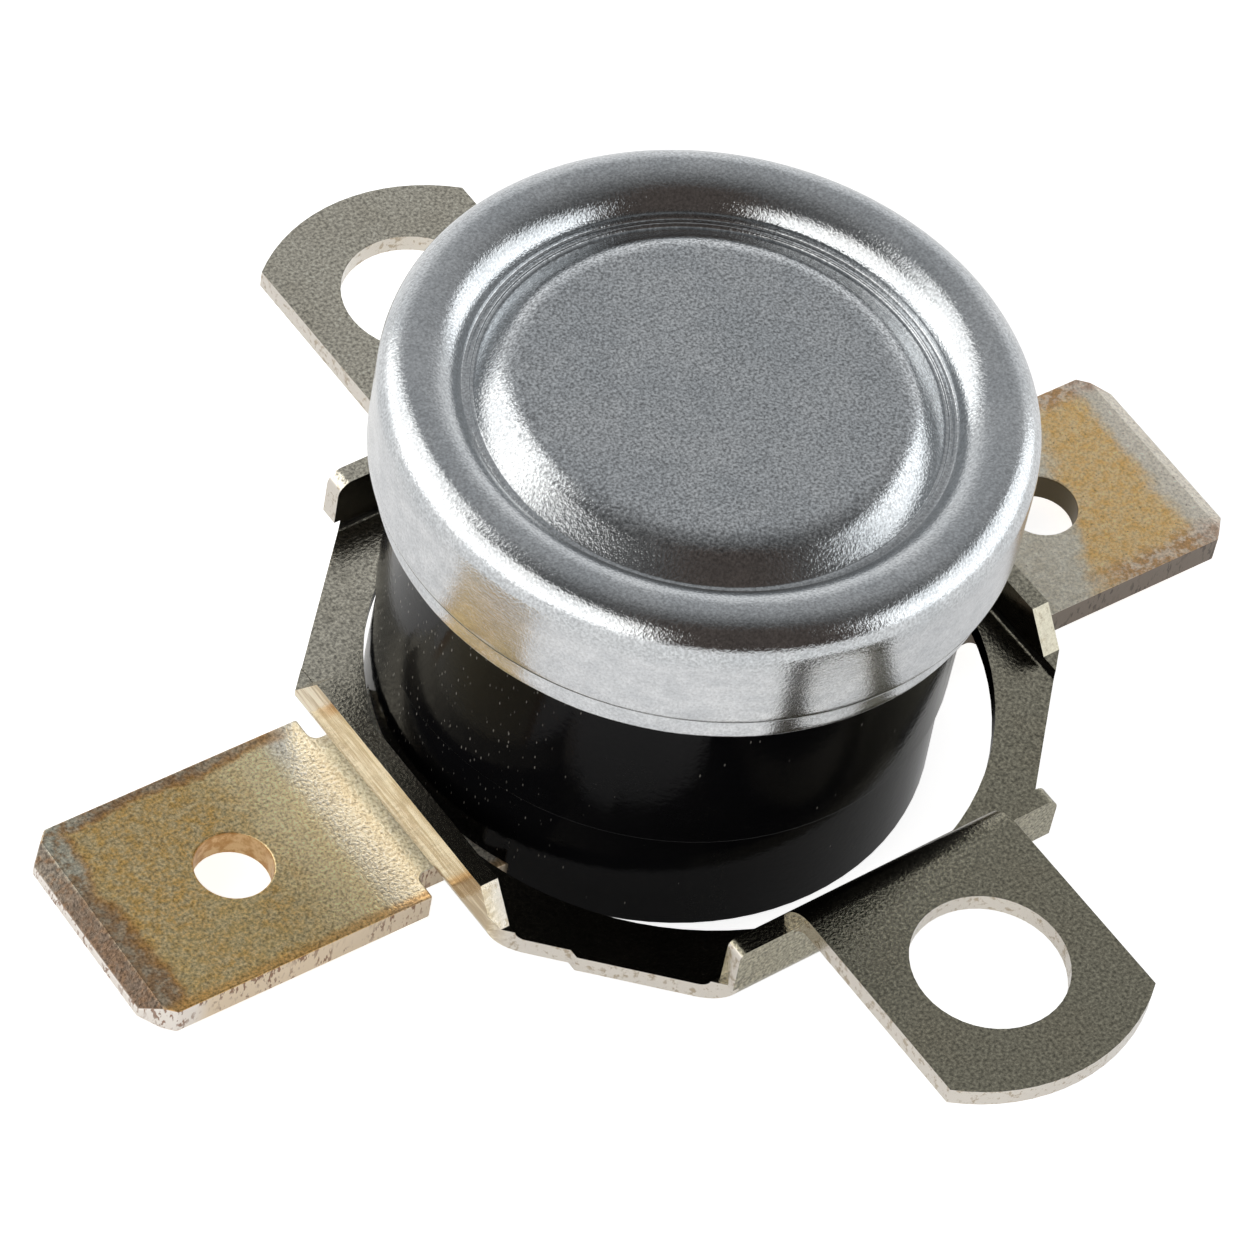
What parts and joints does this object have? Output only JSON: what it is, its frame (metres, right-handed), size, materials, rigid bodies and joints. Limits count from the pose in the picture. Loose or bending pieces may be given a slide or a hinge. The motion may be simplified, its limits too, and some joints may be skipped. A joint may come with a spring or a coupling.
{
  "type": "bimetal thermostat",
  "caption": "Snap-disc bimetal thermostat: crimped aluminium sensing cap on a round black housing, flat tab terminals and a loose folded mounting bracket with round ear holes.",
  "frame": {"origin": "centre of the housing's base, on the axis of the round housing and cap", "axes": "+Z along the housing's axis towards the sensing cap, +X along the right terminal, +Y along one ear of the bracket"},
  "size_m": [0.0326, 0.0312, 0.0124],
  "materials": {
    "cap_aluminium": "satin drawn aluminium with a fine blasted grain",
    "housing_phenolic": "black moulded phenolic, half gloss",
    "bracket_nickel": "nickel-plated steel sheet, fine matt grain",
    "terminal_plate": "tarnished plated brass",
    "rivet_metal": "nickel-plated brass",
    "disc_bimetal": "bare bimetal strip",
    "guide_phenolic": "brown moulded phenolic",
    "pin_ceramic": "white ceramic",
    "contact_copper": "copper alloy spring sheet",
    "contact_silver": "silver contact metal"
  },
  "bodies": {
    "switch": {"housing": "housing_phenolic", "sensing_cap": "cap_aluminium", "bimetal_disc": "disc_bimetal", "guide_plate": "guide_phenolic", "contact_strip": "contact_copper", "fixed_contact": "contact_silver", "terminal_left": "terminal_plate", "terminal_right": "terminal_plate", "rivet_left": "rivet_metal", "rivet_right": "rivet_metal"},
    "bracket": {"mounting_bracket": "bracket_nickel"},
    "pin": {"push_pin": "pin_ceramic"},
    "arm": {"contact_arm": "contact_copper", "moving_contact": "contact_silver"}
  },
  "joints": [
    {"name": "bracket_swivel", "type": "hinge", "parent": "switch", "child": "bracket", "pos_m": [0.0004, -0.0006, 0.0013], "axis": [0, 0, 1], "continuous": true},
    {"name": "arm_flex", "type": "hinge", "parent": "switch", "child": "arm", "pos_m": [-0.00325, 0, 0.005], "axis": [0, 1, 0], "range_deg": [0, 8], "stiffness_Nm_per_rad": 0.01, "deforming": ["contact_arm"]},
    {"name": "pin_travel", "type": "slide", "parent": "switch", "child": "pin", "axis": [0, 0, -1], "range_m": [0, 0.00045], "deforming": ["bimetal_disc"]}
  ],
  "couplings": [
    {"joint": "arm_flex", "follows": "pin_travel", "rad_per_m": 307.69}
  ]
}
